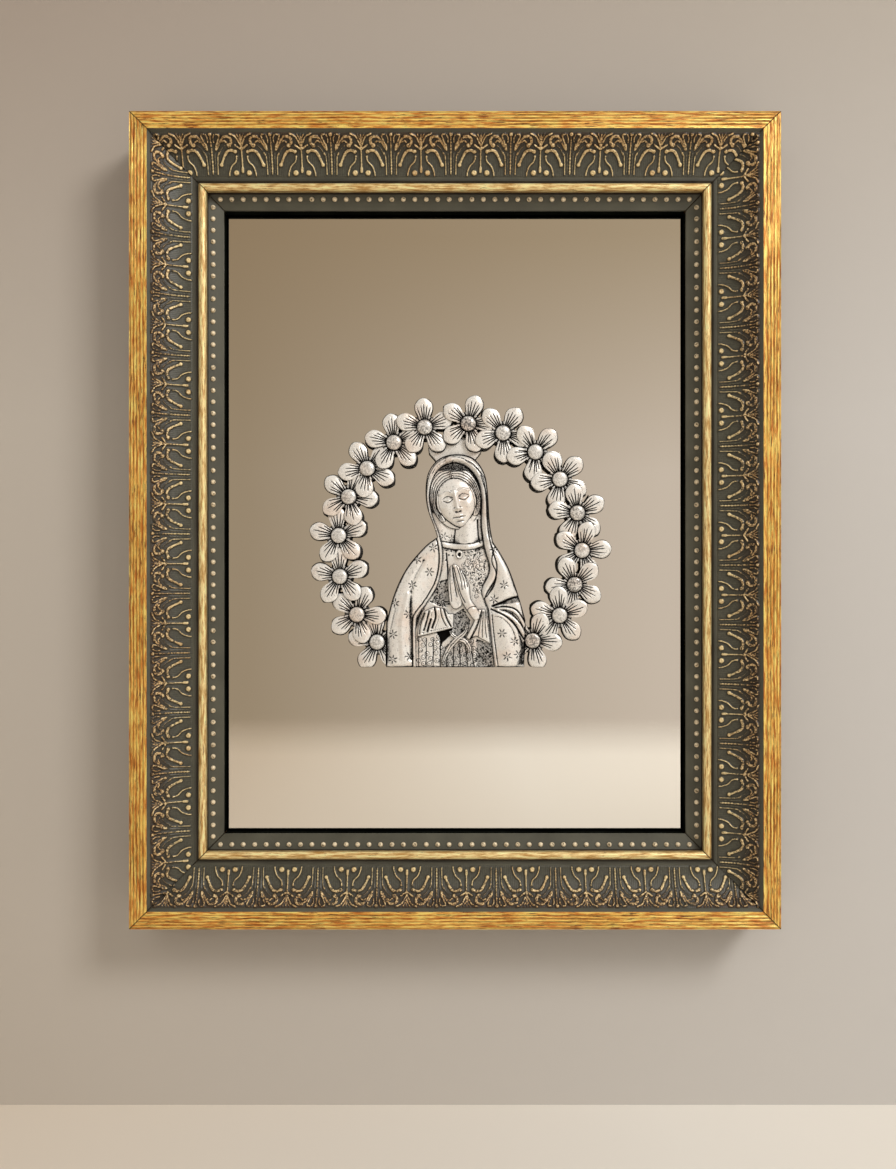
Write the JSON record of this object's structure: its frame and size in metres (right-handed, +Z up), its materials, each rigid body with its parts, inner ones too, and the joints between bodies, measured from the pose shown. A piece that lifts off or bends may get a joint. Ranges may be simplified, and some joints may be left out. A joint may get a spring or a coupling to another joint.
{
  "type": "wall mirror",
  "caption": "Wall mirror in a mitred gilt scoop moulding with pearls, with a cast tin flower wreath and praying veiled figure on the glass.",
  "frame": {"origin": "centre of the flat back, on the back face of the backing board, which is flush with the rails", "axes": "+Y out of the back towards the wall, -Y towards the viewer, +Z up, +X to the viewer's right"},
  "size_m": [0.2962, 0.0343, 0.3716],
  "materials": {
    "moulding": "gilt band and bead over dark green-grey painted wood",
    "ornament": "pressed composition, rubbed pale gold over dark ground",
    "pearls": "champagne painted half pearls",
    "mirror": "silvered glass",
    "backing_board": "brown hardboard",
    "cast_tin": "antiqued cast tin with black patina in the hollows",
    "fixing_steel": "zinc plated",
    "button_steel": "zinc plated sheet",
    "hanger_brass": "brassed steel strap",
    "bumper_rubber": "black rubber",
    "adhesive_foam": "black foam"
  },
  "bodies": {
    "frame": {"top_rail": "moulding", "bottom_rail": "moulding", "left_rail": "moulding", "right_rail": "moulding", "top_ornament": "ornament", "bottom_ornament": "ornament", "left_ornament": "ornament", "right_ornament": "ornament", "top_pearls": "pearls", "bottom_pearls": "pearls", "left_pearls": "pearls", "right_pearls": "pearls", "corner_v_nails": "fixing_steel", "mirror_pane": "mirror", "backing_board": "backing_board", "turn_button_screws": "fixing_steel", "hanger_strap_left": "hanger_brass", "hanger_strap_right": "hanger_brass", "hanger_screws": "fixing_steel", "wall_bumpers": "bumper_rubber", "flower_01": "cast_tin", "flower_02": "cast_tin", "flower_03": "cast_tin", "flower_04": "cast_tin", "flower_05": "cast_tin", "flower_06": "cast_tin", "flower_07": "cast_tin", "flower_08": "cast_tin", "flower_09": "cast_tin", "flower_10": "cast_tin", "flower_11": "cast_tin", "flower_12": "cast_tin", "flower_13": "cast_tin", "flower_14": "cast_tin", "flower_15": "cast_tin", "flower_16": "cast_tin", "flower_17": "cast_tin", "flower_bosses": "cast_tin", "crown_plate": "cast_tin", "mantle": "cast_tin", "gown": "cast_tin", "head": "cast_tin", "left_sleeve": "cast_tin", "right_sleeve": "cast_tin", "praying_hands": "cast_tin", "sash": "cast_tin", "brooch": "cast_tin", "adhesive_pads": "adhesive_foam"},
    "turn_button_1": {"turn_button_1": "button_steel"},
    "turn_button_2": {"turn_button_2": "button_steel"},
    "turn_button_3": {"turn_button_3": "button_steel"},
    "turn_button_4": {"turn_button_4": "button_steel"},
    "turn_button_5": {"turn_button_5": "button_steel"},
    "turn_button_6": {"turn_button_6": "button_steel"},
    "d_ring_left": {"d_ring_left": "fixing_steel"},
    "d_ring_right": {"d_ring_right": "fixing_steel"}
  },
  "joints": [
    {"name": "turn_button_1_turn", "type": "hinge", "parent": "frame", "child": "turn_button_1", "pos_m": [-0.1238, 0.0006, 0.08177], "axis": [0, 1, 0], "continuous": true},
    {"name": "turn_button_2_turn", "type": "hinge", "parent": "frame", "child": "turn_button_2", "pos_m": [-0.1238, 0.0006, -0.08177], "axis": [0, 1, 0], "continuous": true},
    {"name": "turn_button_3_turn", "type": "hinge", "parent": "frame", "child": "turn_button_3", "pos_m": [0.1238, 0.0006, 0.08177], "axis": [0, 1, 0], "continuous": true},
    {"name": "turn_button_4_turn", "type": "hinge", "parent": "frame", "child": "turn_button_4", "pos_m": [0.1238, 0.0006, -0.08177], "axis": [0, 1, 0], "continuous": true},
    {"name": "turn_button_5_turn", "type": "hinge", "parent": "frame", "child": "turn_button_5", "pos_m": [0, 0.0006, 0.16155], "axis": [0, 1, 0], "continuous": true},
    {"name": "turn_button_6_turn", "type": "hinge", "parent": "frame", "child": "turn_button_6", "pos_m": [0, 0.0006, -0.16155], "axis": [0, 1, 0], "continuous": true},
    {"name": "d_ring_left_swing", "type": "hinge", "parent": "frame", "child": "d_ring_left", "pos_m": [-0.1331, 0.0023, 0.13023], "axis": [-1, 0, 0], "range_deg": [0, 165]},
    {"name": "d_ring_right_swing", "type": "hinge", "parent": "frame", "child": "d_ring_right", "pos_m": [0.1331, 0.0023, 0.13023], "axis": [-1, 0, 0], "range_deg": [0, 165]}
  ]
}
